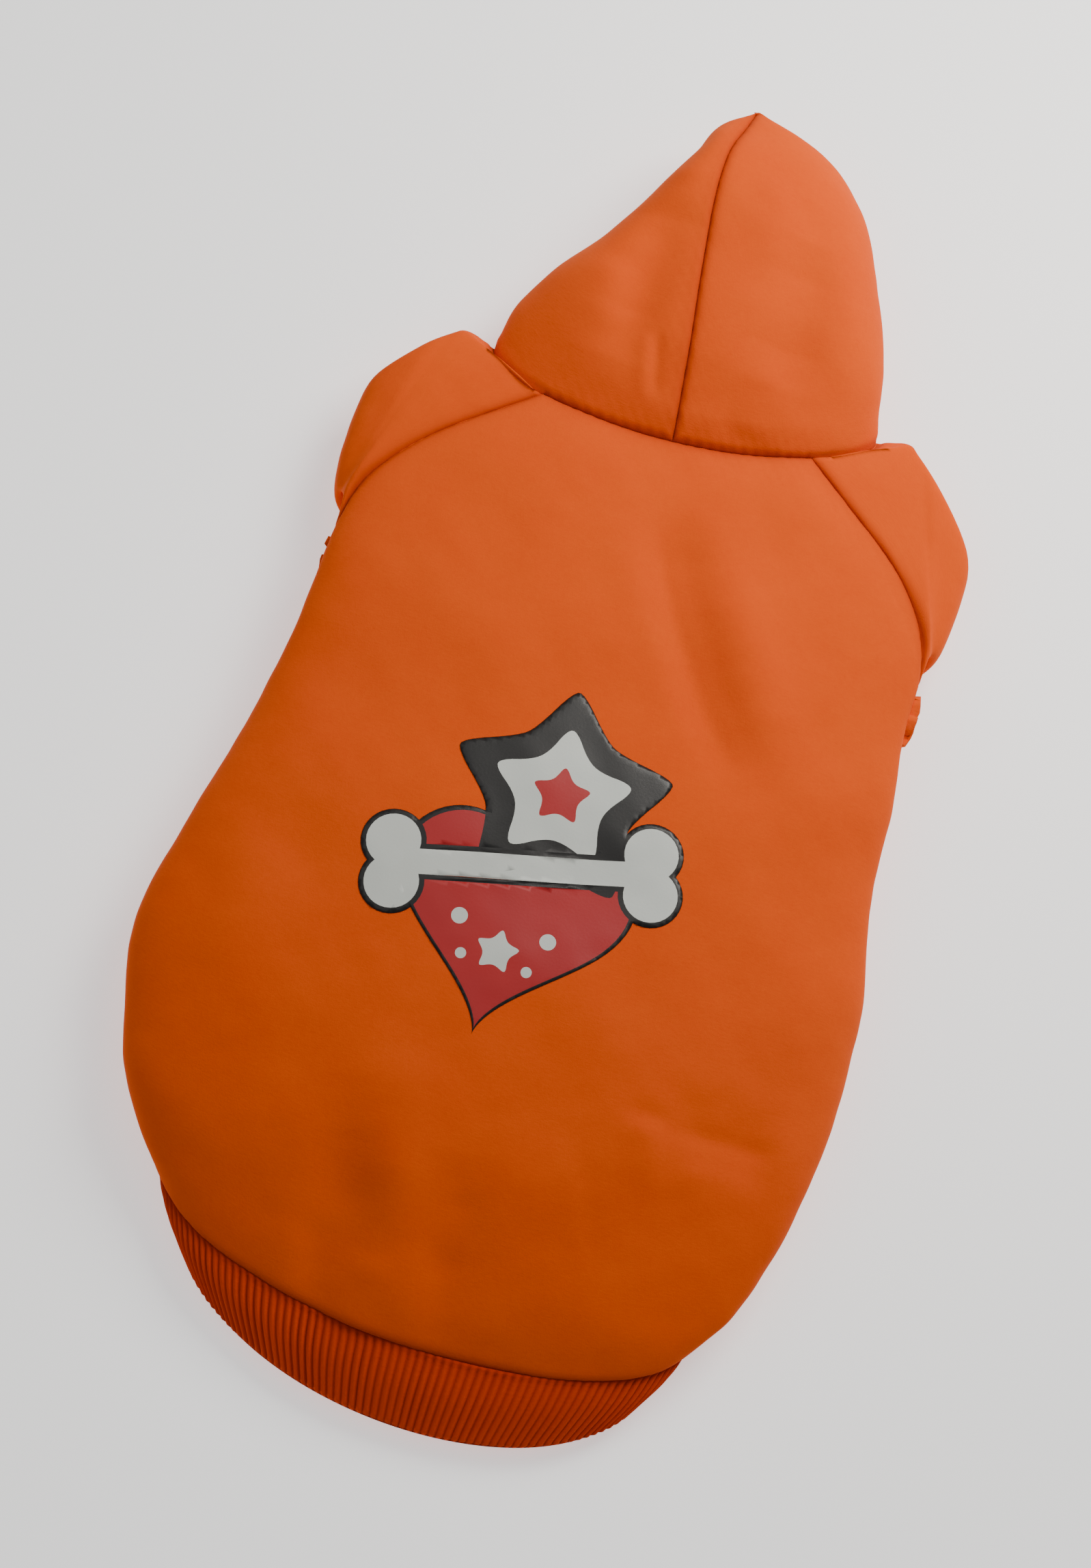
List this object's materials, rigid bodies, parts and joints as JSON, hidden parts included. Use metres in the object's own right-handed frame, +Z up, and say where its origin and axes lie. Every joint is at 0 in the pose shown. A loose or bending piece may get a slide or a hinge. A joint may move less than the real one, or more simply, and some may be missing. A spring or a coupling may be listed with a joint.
{
  "type": "dog hoodie",
  "caption": "Pullover hoodie for a dog in brushed fleece, lying flat with its back up: raglan leg sleeves folded under, seamed hood, ribbed hem band and a printed film on the back.",
  "frame": {"origin": "middle of the underside of the garment's box, on the surface it lies on", "axes": "+X across the garment to its right side, +Y from the hem to the hood, +Z up from the surface to the back"},
  "size_m": [0.22, 0.4466, 0.0439],
  "materials": {
    "back_panel": "brushed fleece, matte orange",
    "belly_panel": "brushed fleece, matte orange",
    "sleeve_left": "brushed fleece, matte orange",
    "sleeve_right": "brushed fleece, matte orange",
    "hood_left": "brushed fleece, matte orange",
    "hood_right": "brushed fleece, matte orange",
    "hem_rib": "rib knit, matte deep orange",
    "back_print": "thin transfer film, satin black, red and white"
  },
  "bodies": {
    "root": {"back_panel": "back_panel", "belly_panel": "belly_panel", "sleeve_left": "sleeve_left", "sleeve_right": "sleeve_right", "hood_left": "hood_left", "hood_right": "hood_right", "hem_rib": "hem_rib", "back_print": "back_print"}
  },
  "joints": []
}
